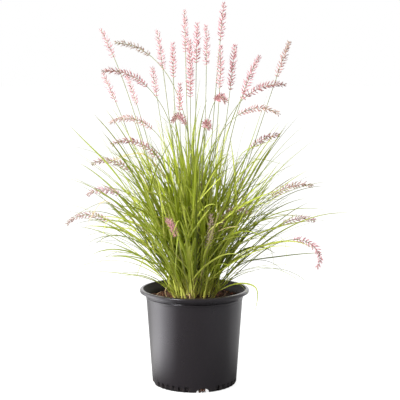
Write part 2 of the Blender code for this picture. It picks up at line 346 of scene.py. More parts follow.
def makeDustGroup():
    # dry dust that gathers on faces that look up and towards a given height
    group, given, out = newGroup("settledDust", {"Amount": 0.4, "Height": 0.0, "Fade": 0.05}, ["Mask"])
    up = split(addNode(group, "NewGeometry").outputs["Normal"])["Z"]
    place = ownPlace(group)
    away = maths("ABSOLUTE", maths("SUBTRACT", split(place)["Z"], given["Height"]))
    near = maths("SUBTRACT", 1.0, maths("DIVIDE", away, given["Fade"]), clamp=True)
    both = maths("MAXIMUM", near, times(ramp(up, 0.0, 1.0, 0.3, 1.0), 0.7))
    mask = times(both, ramp(noiseOf(place, 140.0, 4.0), 0.0, 1.0, 0.4, 0.65))
    give(out["Mask"], times(mask, given["Amount"], clamp=True))
    return group


groups = {"grain": makeGrainGroup(), "fibre": makeFibreGroup(), "dust": makeDustGroup()}


def useGroup(tree, name, **values):
    made = addNode(tree, "Group")
    made.node_tree = groups[name]
    for label, value in values.items():
        made.inputs[label].default_value = value
    return made.outputs


def newMaterial(name):
    material = bpy.data.materials.new(name)
    material.use_nodes = True
    return material, material.node_tree, material.node_tree.nodes["Principled BSDF"]


def finishMaterial(shader, colour, roughness, height, bumpStrength, bumpDistance):
    relief = {"Height": height, "Strength": bumpStrength, "Distance": bumpDistance}
    bump = addNode(shader.id_data, "Bump", relief)
    finish = {"Base Color": colour, "Roughness": roughness, "Normal": bump.outputs["Normal"]}
    for label, value in finish.items():
        give(shader.inputs[label], value)


print("node groups made")

# ---- leaf blades

leaf = {
    "lime": fromScreen(226, 233, 108),
    "green": fromScreen(156, 172, 38),
    "deep": fromScreen(62, 78, 14),
    "sheath": fromScreen(234, 230, 122),
    "tip": fromScreen(122, 126, 56),
    "straw": fromScreen(222, 204, 156),
    "rust": fromScreen(160, 122, 82),
    "culms": 8.9,  # in an upright tuft, and how many fewer for each degree of lean
    "culmsLess": 0.192,
    "leavesPerCulm": 6,
    "culmRadius": 1.35 * mm,
    "rings": 20,
    "culmRings": 24,
    "halfWidth": (1.5 * mm, 2.9 * mm),
    "longHalfWidth": 2.9 * mm,
    "thickness": 0.3 * mm,
}


def leafMaterial():
    material, tree, shader = newMaterial("leafBlade")
    tint, along, dry = mark(tree, "tint"), mark(tree, "along"), mark(tree, "dry")
    across = maths("ABSOLUTE", mark(tree, "across"))
    fibre = useGroup(tree, "fibre", Streaks=7.0, Breaks=3.0)
    grain = useGroup(tree, "grain", Scale=28.0, Contrast=0.22)
    withered = blend(times(fibre["Streak"], 0.6), leaf["straw"], leaf["rust"])
    colour = layered(
        leaf["lime"],
        (ramp(tint, 0, 1, 0.0, 0.55), leaf["green"]),
        (ramp(tint, 0, 1, 0.55, 1.0), leaf["deep"]),
        (times(grain["Mask"], 0.35), leaf["green"]),
        (times(fibre["Streak"], 0.3), leaf["deep"]),
        (ramp(across, 0.45, 0.0, 0.0, 0.16), leaf["lime"]),  # the midrib
        (ramp(along, 0, 0.55, 0.72, 1.0), leaf["tip"]),
        (ramp(along, 0.8, 0.0, 0.0, 0.16), leaf["sheath"]),
        (maths("MAXIMUM", dry, ramp(along, 0, 0.7, 0.965, 1.0)), withered),
    )
    roughness = ramp(plus(fibre["Streak"], dry), 0.42, 0.75, 0.0, 2.0)
    finishMaterial(shader, colour, roughness, fibre["Height"], 0.35, 0.2 * mm)
    shader.inputs["Specular IOR Level"].default_value = 0.3
    shader.inputs["Subsurface Weight"].default_value = 0.12  # thin blades glow a little with light behind
    shader.inputs["Subsurface Radius"].default_value = (1.0, 1.0, 0.25)
    shader.inputs["Subsurface Scale"].default_value = 1.2 * mm
    return material


leafLook = leafMaterial()
chevron = ((-1, 1, 0), (0, 0, -1), (1, 1, 0), (0, 0, 1))  # edge, keel, edge, groove: across, fold, skin


def bladeChunk(
    rng, root, azimuth, lean, droop, length, halfWidth, dry,
    area=(0, 0, 1, 1), tint=None, kink=0.0, steady=False,
):
    # folded blades: narrow and folded at the sheath, widest a third of the way up, then a long taper
    count, rings = len(azimuth), leaf["rings"]
    sway = rng.normal(0, 0 if steady else 20, count)
    wave = rng.normal(0, 0 if steady else 2, count)
    power = 2.0 if steady else 1.5
    line, _, sideways, upward = archLines(root, azimuth, lean, droop, length, power, sway, rings, kink, wave)
    t = np.linspace(0, 1, rings)[None, :]
    grown = 0.55 + 0.45 * np.clip(t / 0.3, 0, 1) ** 1.3
    taper = np.clip((1 - t) / 0.62, 0, 1) ** (0.6 if steady else 0.85)
    wide = halfWidth[:, None] * np.maximum(grown * taper, 0.03)
    fold = 0.85 - 0.6 * np.clip(t / 0.4, 0, 1)
    twist = rng.normal(0, 0.35, count)[:, None] + rng.normal(0, 0.9, count)[:, None] * t**1.2
    ringsOut = np.zeros((count, rings, 4, 3))
    s = sideways * np.cos(twist)[..., None] + upward * np.sin(twist)[..., None]
    n = upward * np.cos(twist)[..., None] - sideways * np.sin(twist)[..., None]
    lift = wide * fold
    half = leaf["thickness"] / 2 * np.clip(wide / halfWidth[:, None] + 0.25, 0, 1)
    for side, (x, up, skin) in enumerate(chevron):
        ringsOut[:, :, side] = line + s * (x * wide)[..., None] + n * (up * lift + skin * half)[..., None]
    marks = {
        "along": t[..., None],
        "across": np.array([-1.0, 0.0, 1.0, 0.0]),
        "tint": (rng.uniform(0, 1, count) if tint is None else tint)[:, None, None],
        "dry": dry[:, None, None],
    }
    return tubes(ringsOut, area=area, **marks)


def crownReach(lean):
    # how far out on the crown a stem with this lean is rooted
    inner, outer = 4 * mm, 42 * mm
    return inner + (outer - inner) * (np.abs(lean) / 48) ** 0.6


# the longest blades, which stand clear of the clump. Most lean to its left or right, the rest anywhere
reaching = {
    "toTheSides": 22,
    "anywhere": 7,
    "fan": 24,  # degrees either way
    "lean": (8, 34),
    "droop": (20, 125),
    "out": (170 * mm, 262 * mm),
    "longest": 430 * mm,
}


def reachingFacts():
    # azimuth, lean, droop and length of each long blade. The length follows from how far out it goes
    rng = np.random.default_rng(31)
    count = reaching["toTheSides"] + reaching["anywhere"]
    sides = 180.0 * (np.arange(count) % 2) + rng.normal(0, reaching["fan"], count)
    azimuth = np.where(np.arange(count) < reaching["toTheSides"], sides, rng.uniform(0, 360, count)) % 360
    lean = rng.uniform(*reaching["lean"], count)
    droop = rng.uniform(*reaching["droop"], count)
    length = rng.uniform(*reaching["out"], count) / np.sin(np.radians(lean + droop / 3))
    return np.stack([azimuth, lean, droop, np.minimum(length, reaching["longest"])], -1)


def tuftFacts(name):
    # azimuth, lean, droop and length in degrees and metres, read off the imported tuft
    centres, _ = nodeRings(name)
    steps = np.diff(centres, axis=0)
    sizes = np.linalg.norm(steps, axis=1)
    length = sizes.sum()
    middle = (np.cumsum(sizes) - sizes / 2) / length
    tip = centres[-1] - centres[0]
    azimuth = math.atan2(tip[1], tip[0])
    out = steps @ np.array([math.cos(azimuth), math.sin(azimuth), 0])
    tilt = np.unwrap(np.arctan2(out, steps[:, 2]))
    droop, lean = np.polyfit(middle**2, np.degrees(tilt), 1)
    return centres[0], math.degrees(azimuth), lean, droop, length


def culmLines(rng, fact):
    # the leafy stems of one tuft: they stand closer together than the leaves that spread from them
    root, azimuth, lean, droop, length = fact
    count = max(1, round(leaf["culms"] - leaf["culmsLess"] * lean))
    fan = 40 * math.exp(-lean / 12) + 13
    roots = root + rng.normal(0, 4.5 * mm, (count, 3)) * np.array([1, 1, 0])
    roots[:, 2] -= 5 * mm
    tall = length * rng.uniform(0.34, 0.62, count)
    leans = lean * rng.uniform(0.45, 0.85, count) + rng.normal(0, 3, count)
    ways = azimuth + rng.normal(0, fan, count)
    droops = droop * rng.uniform(0.15, 0.45, count)
    sways = rng.normal(0, 14, count)
    waves = rng.normal(0, 2, count)
    return archLines(roots, ways, leans, droops, tall, 1.6, sways, leaf["culmRings"], 0.0, waves)


def leavesOf(rng, fact, line, ahead):
    # leaves stand on alternate sides of each culm, and the last one carries its line on
    _, _, outward, droop, length = fact
    culms, rings = line.shape[:2]
    each = leaf["leavesPerCulm"]
    owner = np.repeat(np.arange(culms), each)
    level = np.tile(np.linspace(0, 1, each), culms)
    at = np.clip(0.1 + 0.9 * level + rng.normal(0, 0.05, len(owner)), 0.05, 1)
    spot = np.minimum((at * (rings - 1)).astype(int), rings - 1)
    root, along = line[owner, spot], ahead[owner, spot]
    facing = np.repeat(rng.uniform(0, 360, culms), each) + 180 * np.tile(np.arange(each), culms)
    side = around(np.radians(facing + rng.normal(0, 28, len(owner))))
    side = unit(side - along * np.sum(side * along, -1, keepdims=True))
    last = level == 1
    opened = np.where(last, rng.uniform(0, 9, len(owner)), rng.uniform(9, 40, len(owner)))
    opening = np.radians(opened)[:, None]
    way = along * np.cos(opening) + side * np.sin(opening)
    azimuth = np.degrees(np.arctan2(way[:, 1], way[:, 0]))
    lean = np.degrees(np.arccos(np.clip(way[:, 2], -1, 1)))
    fall = rng.uniform(0, 1, len(owner)) ** 1.6 * (100 - 0.9 * outward) * (1.25 - 0.7 * level) + 0.2 * droop
    fall = np.where(last, rng.uniform(0, 30, len(owner)), fall)
    share = 0.76 + 0.1 * np.clip(1 - outward / 18, 0, 1) - 0.2 * level
    reach = length * share * rng.triangular(0.55, 0.92, 1.08, len(owner))
    return root, azimuth, lean, fall, reach


def makeTufts():
    names = sorted(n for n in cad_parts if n.startswith("leaf_tuft"))
    facts = [tuftFacts(name) for name in names]
    homes = []  # each long blade grows with the tuft that leans most nearly as it does
    longBlades = reachingFacts()
    for azimuth, lean, _, _ in longBlades:
        off = [abs((azimuth - f[1] + 180) % 360 - 180) / 4 + abs(lean - f[2]) for f in facts]
        homes.append(int(np.argmin(off)))
    for number, (name, fact) in enumerate(zip(names, facts), 1):
        rng = np.random.default_rng([11, number])
        root, azimuth, lean, droop, length = fact
        line, ahead, sideways, upward = culmLines(rng, fact)
        stems = line.shape[0]
        radius = leaf["culmRadius"] * np.linspace(1, 0.5, line.shape[1])[None, :] * np.ones((stems, 1))
        rise = np.linspace(0, 0.6, line.shape[1])[None, :, None]
        green = rng.uniform(0.0, 0.8, stems)[:, None, None]
        culms = sweep(line, sideways, upward, roundSection(6), radius, radius)
        chunks = [tubes(culms, 0, (0, 0, 1, 0.14), along=rise, across=np.abs(np.linspace(-1, 1, 6)),
                        tint=green, dry=0.0)]
        leads = np.arange(2)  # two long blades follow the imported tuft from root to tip
        leafRoot, turn, tilt, fall, reach = leavesOf(rng, fact, line, ahead)
        leafRoot = np.concatenate([np.repeat(root[None] - np.array([[0, 0, 5 * mm]]), 2, 0), leafRoot])
        turn = np.concatenate([azimuth + 4 * leads - 2, turn])
        tilt = np.concatenate([lean + 2 * leads - 1, tilt])
        fall = np.concatenate([droop * (1 - 0.1 * leads), fall])
        reach = np.concatenate([length * (1.02 - 0.06 * leads), reach])
        count = len(turn)
        kink = np.where(rng.uniform(0, 1, count) < 0.09, rng.uniform(35, 95, count), 0.0)
        kink[:2] = 0
        wide = rng.uniform(*leaf["halfWidth"], count)
        dry = np.where(rng.uniform(0, 1, count) < 0.025, rng.uniform(0.5, 1, count), 0.0)
        chunks.append(bladeChunk(rng, leafRoot, turn, tilt, fall, reach, wide, dry, (0, 0.14, 1, 0.86),
                                 rng.beta(1.3, 1.7, count), kink))
        guests = np.array([row for row, home in zip(longBlades, homes) if home == number - 1], float)
        if len(guests):
            turn, tilt, fall, reach = guests.T
            out = crownReach(tilt)
            start = around(np.radians(turn)) * out[:, None]
            start[:, 2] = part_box("crown")[0].z + 9 * mm - out * 0.15
            chunks.append(bladeChunk(rng, start, turn, tilt, fall, reach,
                                     np.full(len(turn), leaf["longHalfWidth"]), np.zeros(len(turn)),
                                     (0, 0.86, 1, 1), rng.uniform(0.6, 1, len(turn)), steady=True))
        makePiece(f"leafTuft_{number:02d}", chunks, [leafLook], name)
    print("leaf tufts made:", len(names))


makeTufts()

# ---- flower stalks

flower = {
    "stem": fromScreen(104, 116, 66),
    "stemPale": fromScreen(128, 138, 100),
    "node": fromScreen(104, 84, 52),
    "stemRadius": (1.15 * mm, 0.74 * mm, 0.36 * mm),  # at the root, under the spike, at the tip
    "whorl": 5,  # spikelets in a ring, and how far apart the rings stand
    "whorlSpacing": 6.2 * mm,
    "spikelet": 9.4 * mm,
    "spikeletRadius": 1.0 * mm,
    "bristles": 3,
    "bristleRadius": 0.055 * mm,
    "bloom": (250, 224, 228),  # a pale bloom over every spike
    "bloomShare": 0.22,
    # pale streaks along the husk fibres, their colour a painted highlight
    "huskStreakHighlight": fromScreen(236, 210, 208),
    "huskSpeck": fromScreen(226, 204, 176),
    "bristleTip": fromScreen(236, 200, 206),
}

# colours of the spikelets low on the spike and at its tip, and of the seed ends
spikeColours = {
    "pale": ((240, 168, 182), (224, 184, 188), (204, 138, 150)),
    "rose": ((232, 132, 152), (214, 150, 158), (178, 96, 112)),
    "deep": ((208, 96, 118), (152, 98, 92), (106, 58, 56)),
    "mauve": ((194, 114, 144), (148, 118, 100), (108, 78, 72)),
    "lilac": ((214, 132, 174), (190, 158, 146), (152, 94, 130)),
    "sandy": ((216, 138, 142), (170, 138, 118), (124, 90, 74)),
    "tan": ((142, 108, 88), (118, 102, 76), (76, 62, 44)),
    "green": ((152, 150, 92), (182, 144, 126), (142, 112, 84)),
}
spikeStyles = {
    "pale": (1, 3, 6, 8, 12, 13, 14, 15, 28),
    "rose": (2, 4, 5, 7, 9, 10, 16, 29, 33),
    "deep": (18, 20, 24, 26, 30, 31, 32),
    "mauve": (21, 23),
    "lilac": (22,),
    "sandy": (11, 19, 25, 27, 34),
    "tan": (17,),
    "green": (35,),
}


def stemMaterial():
    material, tree, shader = newMaterial("flowerStem")
    fibre = useGroup(tree, "fibre", Streaks=6.0, Breaks=14.0)
    grain = useGroup(tree, "grain", Scale=60.0, Contrast=0.2)
    colour = layered(
        flower["stem"],
        (ramp(mark(tree, "along"), 0, 1, 0.1, 0.9), flower["stemPale"]),
        (times(fibre["Streak"], 0.35), leaf["green"]),
        (times(grain["Mask"], 0.25), leaf["straw"]),
        (mark(tree, "joint"), flower["node"]),
    )
    finishMaterial(shader, colour, ramp(fibre["Streak"], 0.45, 0.65), fibre["Height"], 0.3, 0.1 * mm)
    return material


def bloomed(style):
    # the three colours of a style with the bloom over them, as linear light
    share = flower["bloomShare"]
    mixed = np.array(spikeColours[style]) * (1 - share) + np.array(flower["bloom"]) * share
    return [fromScreen(*colour) for colour in mixed]


def spikeletMaterial(style):
    low, high, seed = bloomed(style)
    material, tree, shader = newMaterial("spikelet_" + style)
    fibre = useGroup(tree, "fibre", Streaks=4.0, Breaks=3.0)
    grain = useGroup(tree, "grain", Scale=400.0, Contrast=0.25)
    colour = layered(
        low,
        (mark(tree, "height"), high),
        (times(mark(tree, "tint"), 0.45), seed),
        # painted highlight: pale streaks that follow the husk fibres
        (times(fibre["Streak"], 0.18), flower["huskStreakHighlight"]),
        (ramp(mark(tree, "along"), 0, 0.7, 0.55, 1.0), seed),
        (times(grain["Mask"], 0.18), flower["huskSpeck"]),
    )
    finishMaterial(shader, colour, ramp(grain["Mask"], 0.6, 0.85), fibre["Height"], 0.3, 0.1 * mm)
    shader.inputs["Sheen Weight"].default_value = 0.25
    return material


def bristleMaterial(style):
    low, high, _ = (np.array(colour) for colour in bloomed(style))
    light = np.array(flower["bristleTip"])
    material, tree, shader = newMaterial("bristle_" + style)
    tint, along = mark(tree, "tint"), mark(tree, "along")
    colour = layered(
        tuple(low * 0.75 + light * 0.25),
        (mark(tree, "height"), tuple(high * 0.6 + light * 0.4)),
        (ramp(along, 0, 0.6), tuple(light)),
        (times(tint, 0.3), tuple(low)),
    )
    finishMaterial(shader, colour, ramp(tint, 0.55, 0.8), along, 0.05, 0.05 * mm)
    return material


def stalkFrame(line):
    # direction of growth and the level side vector, for a line in its own upright plane
    ahead = unit(np.gradient(line, axis=0))
    tip = line[-1] - line[0]
    azimuth = math.atan2(tip[1], tip[0])
    side = np.array([-math.sin(azimuth), math.cos(azimuth), 0])
    sideways = unit(side - ahead * (ahead @ side)[:, None])
    return ahead, sideways, np.cross(ahead, sideways)


def stemChunk(centres, neck, area):
    rings = 64
    shares = np.linspace(0, 1, rings)
    line = smoothLine(centres, shares)
    ahead, sideways, upward = stalkFrame(line)
    radius = np.interp(shares, [0, neck, 1], flower["stemRadius"])
    joint = np.zeros(rings)
    for place in (0.24, 0.52):
        joint = np.maximum(joint, np.exp(-(((shares - place * neck) / 0.006) ** 2)))
    radius = radius * (1 + 0.5 * joint)
    ringsOut = sweep(line[None], sideways[None], upward[None], roundSection(6), radius[None], radius[None])
    around6 = np.abs(np.linspace(-1, 1, 6))
    return tubes(ringsOut, 0, area, along=shares[None, :, None], across=around6, joint=joint[None, :, None])


def spikeChunks(rng, centres, sizes, neck):
    length = np.linalg.norm(np.diff(centres, axis=0), axis=1).sum() * (1 - neck)
    whorls = int(length / flower["whorlSpacing"])
    count = whorls * flower["whorl"]
    ringNumber = np.arange(count) // flower["whorl"]
    along = np.clip((ringNumber + 0.35 + rng.normal(0, 0.15, count)) / whorls, 0, 0.99)
    fine = np.linspace(0, 1, 400)
    line = smoothLine(centres, fine)
    ahead, sideways, upward = stalkFrame(line)
    at = neck + (1 - neck) * along

    def read(values):
        return np.stack([np.interp(at, fine, values[:, axis]) for axis in range(3)], -1)

    base, forward, side, up = read(line), unit(read(ahead)), unit(read(sideways)), unit(read(upward))
    reach = np.interp(along, [0, 0.1, 0.35, 0.65, 0.88, 1], sizes[4:])
    turn = np.arange(count) * 2 * math.pi / flower["whorl"] + ringNumber * 0.1 + rng.normal(0, 0.3, count)
    out = side * np.cos(turn)[:, None] + up * np.sin(turn)[:, None]
    cross = np.cross(forward, out)
    spread = np.radians(68 - 30 * along**1.5 + rng.normal(0, 9, count))
    fullness = np.clip(reach / (8 * mm), 0.25, 1.1)
    size = flower["spikelet"] * (0.55 + 0.45 * fullness) * rng.uniform(0.82, 1.12, count)

    def strands(count, start, direction, bend, length, radius, shape, sides):
        steps = len(shape)
        t = np.linspace(0, 1, steps)[None, :, None]
        curve = direction[:, None] * t + bend[:, None] * t**2
        path = start[:, None] + curve * length[:, None, None]
        tangent = unit(direction[:, None] + 2 * bend[:, None] * t)
        level = unit(np.cross(tangent, np.array([0.31, 0.17, 0.93])))
        width = radius[:, None] * np.array(shape)[None, :]
        return sweep(path, level, np.cross(tangent, level), roundSection(sides), width, width), t

    direction = forward * np.cos(spread)[:, None] + out * np.sin(spread)[:, None]
    bend = forward * 0.18
    husk = (0.25, 0.7, 1.0, 0.8, 0.1)
    radius = flower["spikeletRadius"] * (0.7 + 0.3 * fullness) * rng.uniform(0.85, 1.15, count)
    start = base + out * 0.8 * mm
    rings, t = strands(count, start, direction, bend, size, radius, husk, 5)
    tint = rng.uniform(0, 1, count)
    five = np.abs(np.linspace(-1, 1, 5))
    place = along[:, None, None]
    chunks = [
        tubes(rings, 1, (0, 0.12, 1, 0.6), along=t, across=five, tint=tint[:, None, None], height=place)
    ]
    each = flower["bristles"]
    owner = np.repeat(np.arange(count), each)
    total = len(owner)
    tilt = spread[owner] + rng.normal(0.08, 0.22, total)
    yaw = rng.normal(0, 0.42, total)
    outwards = out[owner] * np.cos(yaw)[:, None] + cross[owner] * np.sin(yaw)[:, None]
    direction = forward[owner] * np.cos(tilt)[:, None] + outwards * np.sin(tilt)[:, None]
    length = reach[owner] * rng.uniform(0.95, 1.35, total) + 1.2 * mm
    length[::each] *= 1.22
    bend = forward[owner] * 0.22
    thin = np.full(total, flower["bristleRadius"])
    rings, t = strands(total, base[owner], direction, bend, length, thin, (1.3, 1.0, 0.5), 3)
    tint = rng.uniform(0, 1, total)[:, None, None]
    marks = {"along": t, "across": 0.0, "tint": tint, "height": along[owner][:, None, None]}
    chunks.append(tubes(rings, 2, (0, 0.6, 1, 1), **marks))
    return chunks


def makeStalks():
    names = sorted(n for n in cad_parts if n.startswith("flower_stalk"))
    stem = stemMaterial()
    looks = {style: [stem, spikeletMaterial(style), bristleMaterial(style)] for style in spikeColours}
    styleOf = {number: style for style, numbers in spikeStyles.items() for number in numbers}
    for number, name in enumerate(names, 1):
        rng = np.random.default_rng([23, number])
        centres, sizes = nodeRings(name)
        reach = np.cumsum(np.linalg.norm(np.diff(centres, axis=0), axis=1))
        neck = reach[3] / reach[-1]
        chunks = [stemChunk(centres, neck, (0, 0, 1, 0.12))] + spikeChunks(rng, centres, sizes, neck)
        makePiece(f"flowerStalk_{number:02d}", chunks, looks[styleOf[number]], name)
    print("flower stalks made:", len(names))


makeStalks()

# ---- pot

pot = {
    "rimRadius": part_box("pot")[1].x,
    "height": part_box("pot")[1].z,
    "baseRadius": 88.5 * mm,
    "shoulderRadius": 100.5 * mm,
    "shoulderHeight": 178 * mm,
    "collarRadius": 102.4 * mm,
    "collarHeight": 190 * mm,
    "mouthRadius": 106.8 * mm,
    "wall": 1.8 * mm,
    "lipDrop": 7 * mm,
    "floorRise": 6.5 * mm,
    "segments": 288,
    "drainAzimuth": 281.5,
    "drains": 4,
    "drainWidth": 28 * mm,
    "drainHeight": 10 * mm,
    "flutePitch": 9.2,
    "flutesPerQuarter": 6,
    "fluteDepth": 4.2 * mm,
    "plastic": fromScreen(31, 26, 29),
    "plasticWorn": fromScreen(48, 43, 46),
    "dust": fromScreen(128, 116, 104),
    # painted shade: the dark brown laid over the whole inner wall
    "innerShade": fromScreen(34, 27, 24),
}


def arc(centreRadius, centreHeight, radius, start, end, count):
    # points on a round corner of the profile, angles in degrees from outward, turning up
    turns = np.radians(np.linspace(start, end, count))
    return [(centreRadius + radius * math.cos(a), centreHeight + radius * math.sin(a)) for a in turns]


def potOutline():
    rim, top, wall = pot["rimRadius"], pot["height"], pot["wall"]
    collar, collarHeight, mouth = pot["collarRadius"], pot["collarHeight"], pot["mouthRadius"]
    shoulder, shelf = pot["shoulderRadius"], pot["shoulderHeight"]
    base, rise = pot["baseRadius"], pot["floorRise"]
    lipFoot = top - pot["lipDrop"]
    inner = [(0, wall), (34 * mm, wall), (39 * mm, rise + wall), (78 * mm, rise + wall)]
    inner += arc(base - wall - 5.5 * mm, rise + wall + 6 * mm, 6 * mm, -90, -8, 7)
    inner += [(shoulder - wall, shelf), (shoulder - wall + 0.3 * mm, collarHeight - 2 * mm)]
    inner += [(collar - wall, collarHeight), (mouth - 4 * mm, lipFoot), (mouth - 0.9 * mm, top - 2.6 * mm)]
    lip = arc(mouth + 1.4 * mm, top - 2.0 * mm, 2.0 * mm, 165, 90, 7)
    lip += arc(rim - 2.6 * mm, top - 3.0 * mm, 2.6 * mm, 78, 0, 8)
    lip += [(rim, top - 6 * mm), (rim - 0.3 * mm, lipFoot + 0.6 * mm)]
    lip += arc(rim - 0.9 * mm, lipFoot + 0.6 * mm, 0.6 * mm, 0, -180, 6)
    lip += [(rim - 2.0 * mm, top - 5 * mm)]
    lip += arc(mouth + 3.4 * mm, top - 6.4 * mm, 2.4 * mm, 60, 170, 7)
    outer = [(collar + 2.2 * mm, lipFoot - 0.5 * mm)]
    outer += arc(collar - 0.9 * mm, collarHeight + 0.6 * mm, 0.9 * mm, 10, -80, 5)
    outer += arc(shoulder + 1.5 * mm, collarHeight - 2.1 * mm, 1.3 * mm, 130, 215, 5)
    outer += arc(shoulder + 0.1 * mm, collarHeight - 5.2 * mm, 1.5 * mm, 55, -55, 8)
    outer += arc(shoulder + 1.2 * mm, shelf + 2.6 * mm, 1.0 * mm, 130, 215, 5)
    outer += [(shoulder + 0.2 * mm, shelf + 1.0 * mm), (shoulder, shelf)]
    for share in np.linspace(0.06, 1, 18):
        height = shelf + (16 * mm - shelf) * share
        outer.append((base + (height - rise) / (shelf - rise) * (shoulder - base), height))
    for height in np.arange(14.5, 4.4, -1.0) * mm:
        outer.append((base + (height - rise) / (shelf - rise) * (shoulder - base), height))
    outer += arc(base - 5.2 * mm, 4.4 * mm, 4.4 * mm, -8, -90, 8)
    under = [(80.5 * mm, 0), (79 * mm, 1.2 * mm), (78.6 * mm, rise), (41 * mm, rise), (37 * mm, 1 * mm)]
    under += [(36 * mm, 0), (0, 0)]
    return inner + lip + outer + under


def spunMesh(name, outline, segments):
    # an outline of (radius, height) turned round the Z axis, as a plain mesh
    mesh = bpy.data.meshes.new(name)
    mesh.from_pydata([(r, 0, z) for r, z in outline], [(i, i + 1) for i in range(len(outline) - 1)], [])
    spun = newObject(name, mesh)
    screw = spun.modifiers.new("Spin", "SCREW")
    screw.steps = screw.render_steps = segments
    screw.use_merge_vertices = True
    screw.merge_threshold = 0.01 * mm
    made = evaluated(spun)
    bpy.data.objects.remove(spun)
    return made


def fluteDepth(azimuth, height):
    # how far the foot of the wall is pressed in, as shares of the full depth
    quarter = 360 / pot["drains"]
    along = (azimuth - pot["drainAzimuth"]) % quarter - quarter / 2
    half = pot["flutesPerQuarter"] / 2
    place = np.clip(np.round(along / pot["flutePitch"] + half - 0.5), 0, pot["flutesPerQuarter"] - 1)
    off = np.abs(along - (place - half + 0.5) * pot["flutePitch"])
    across = np.clip((2.7 - off) / 1.1, 0, 1)
    crown = np.clip((13.5 * mm - height - (off / 2.7) ** 2 * 3 * mm) / (2.2 * mm), 0, 1)
    return across * crown


def pocketDepth(azimuth, height):
    # small stacking pockets pressed into the flare of the collar just under the lip
    off = np.abs((azimuth - 214) % 24 - 12)
    low, high = pot["collarHeight"] + 1 * mm, pot["height"] - pot["lipDrop"] + 0.5 * mm
    inside = (height > low) & (height < high)
    return np.clip((2.6 - off) / 0.8, 0, 1) * inside


def atDrain(hole, out, level, height):
    # places by a drain hole, from how far they are out from the axis, along the wall and up
    azimuth = math.radians(pot["drainAzimuth"] + hole * 360 / pot["drains"])
    x = out * math.cos(azimuth) - level * math.sin(azimuth)
    y = out * math.sin(azimuth) + level * math.cos(azimuth)
    return np.stack([x, y, height], -1)


def drainCutter(hole):
    # a drum laid through the wall, squashed to half the hole's width and to its height
    bpy.ops.mesh.primitive_cylinder_add(vertices=48, radius=1, depth=26 * mm)
    cutter = bpy.context.object
    up, level, out = spotsOf(cutter.data).T
    out = out + pot["baseRadius"] - 2 * mm
    spots = atDrain(hole, out, level * pot["drainWidth"] / 2, -up * pot["drainHeight"] - 0.2 * mm)
    cutter.data.vertices.foreach_set("co", spots.astype(np.float32).ravel())
    cutter.data.update()
    return cutter


def plasticMaterial():
    material, tree, shader = newMaterial("potPlastic")
    grain = useGroup(tree, "grain", Scale=9.0, Contrast=0.3)
    fine = useGroup(tree, "grain", Scale=260.0, Contrast=0.3)
    place = ownPlace(tree)
    stretched = addNode(tree, "Mapping", {"Vector": place, "Scale": (60, 60, 900)}).outputs[0]
    scuffs = ramp(noiseOf(stretched, 1.0, 5.0), 0, 1, 0.62, 0.78)
    # the inner wall is dull, and its colour is painted shade, a dark brown: its faces look back at the axis
    level = addNode(tree, "VectorMath", {0: place, 1: (1, 1, 0)}, operation="MULTIPLY").outputs[0]
    facing = addNode(tree, "NewGeometry").outputs["Normal"]
    outward = addNode(tree, "VectorMath", {0: level, 1: facing}, operation="DOT_PRODUCT").outputs["Value"]
    inside = ramp(outward, 1.0, 0.0, -0.05, -0.01)
    colour = layered(
        pot["plastic"],
        (grain["Mask"], tuple(0.82 * c for c in pot["plastic"])),
        (times(scuffs, 0.35), pot["plasticWorn"]),
        (useGroup(tree, "dust", Amount=0.16, Height=0.0, Fade=0.012)["Mask"], pot["dust"]),
        (useGroup(tree, "dust", Amount=0.05, Height=0.191, Fade=0.003)["Mask"], pot["dust"]),
        # painted shade over the inner wall
        (inside, pot["innerShade"]),
    )
    dull = plus(times(grain["Mask"], 0.08), times(scuffs, 0.12))
    roughness = plus(plus(dull, 0.25), times(inside, 0.45))
    finishMaterial(shader, colour, roughness, plus(fine["Height"], times(scuffs, 0.4)), 0.12, 0.15 * mm)
    shader.inputs["Specular Tint"].default_value = (0.94, 0.93, 1.0, 1)
    return material


def makePot():
    mesh = spunMesh("nurseryPot", potOutline(), pot["segments"])
    spots = spotsOf(mesh)
    height = spots[:, 2]
    radius = np.hypot(spots[:, 0], spots[:, 1])
    azimuth = np.degrees(np.arctan2(spots[:, 1], spots[:, 0])) % 360
    slope = (pot["shoulderRadius"] - pot["baseRadius"]) / (pot["shoulderHeight"] - pot["floorRise"])
    outerWall = pot["baseRadius"] + (height - pot["floorRise"]) * slope
    skin = (radius > 84 * mm) & (height < 20 * mm) & ((radius > outerWall - 1.2 * mm) | (height < 4.5 * mm))
    inward = fluteDepth(azimuth, height) * pot["fluteDepth"] * skin
    collar = (radius > pot["collarRadius"] + 0.6 * mm) & (radius < pot["mouthRadius"])
    inward += pocketDepth(azimuth, height) * 1.5 * mm * collar
    spots[:, :2] *= (1 - inward / np.maximum(radius, 1 * mm))[:, None]
    mesh.vertices.foreach_set("co", spots.astype(np.float32).ravel())
    mesh.update()
    piece = newObject("nurseryPot", mesh)
    cutters = [drainCutter(hole) for hole in range(pot["drains"])]
    for number, cutter in enumerate(cutters):
        hole = piece.modifiers.new(f"Drain {number}", "BOOLEAN")
        hole.operation = "DIFFERENCE"
        hole.solver = "EXACT"
        hole.object = cutter
    cut = evaluated(piece)
    piece.modifiers.clear()
    piece.data = cut
    for cutter in cutters:
        bpy.data.objects.remove(cutter)
    cut.materials.clear()
    cut.materials.append(plasticMaterial())
    cut.polygons.foreach_set("material_index", np.zeros(len(cut.polygons), np.int32))
    cut.shade_smooth()
    cut.set_sharp_from_angle(angle=math.radians(38))
    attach(piece, "root")
    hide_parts("pot")
    print("pot made:", len(cut.polygons), "faces")


makePot()

# ---- soil, crown and dead leaves

soil = {
    "top": 181 * mm,
    "mouth": 98.1 * mm,
    "dark": fromScreen(46, 30, 22),
    "brown": fromScreen(92, 60, 40),
    "tan": fromScreen(150, 112, 74),
    "red": fromScreen(128, 72, 52),
    "grains": 2600,
    "chips": 150,
    "roots": 260,
    "rings": 70,  # of the crumbly top, and the points round each
    "sides": 200,
}


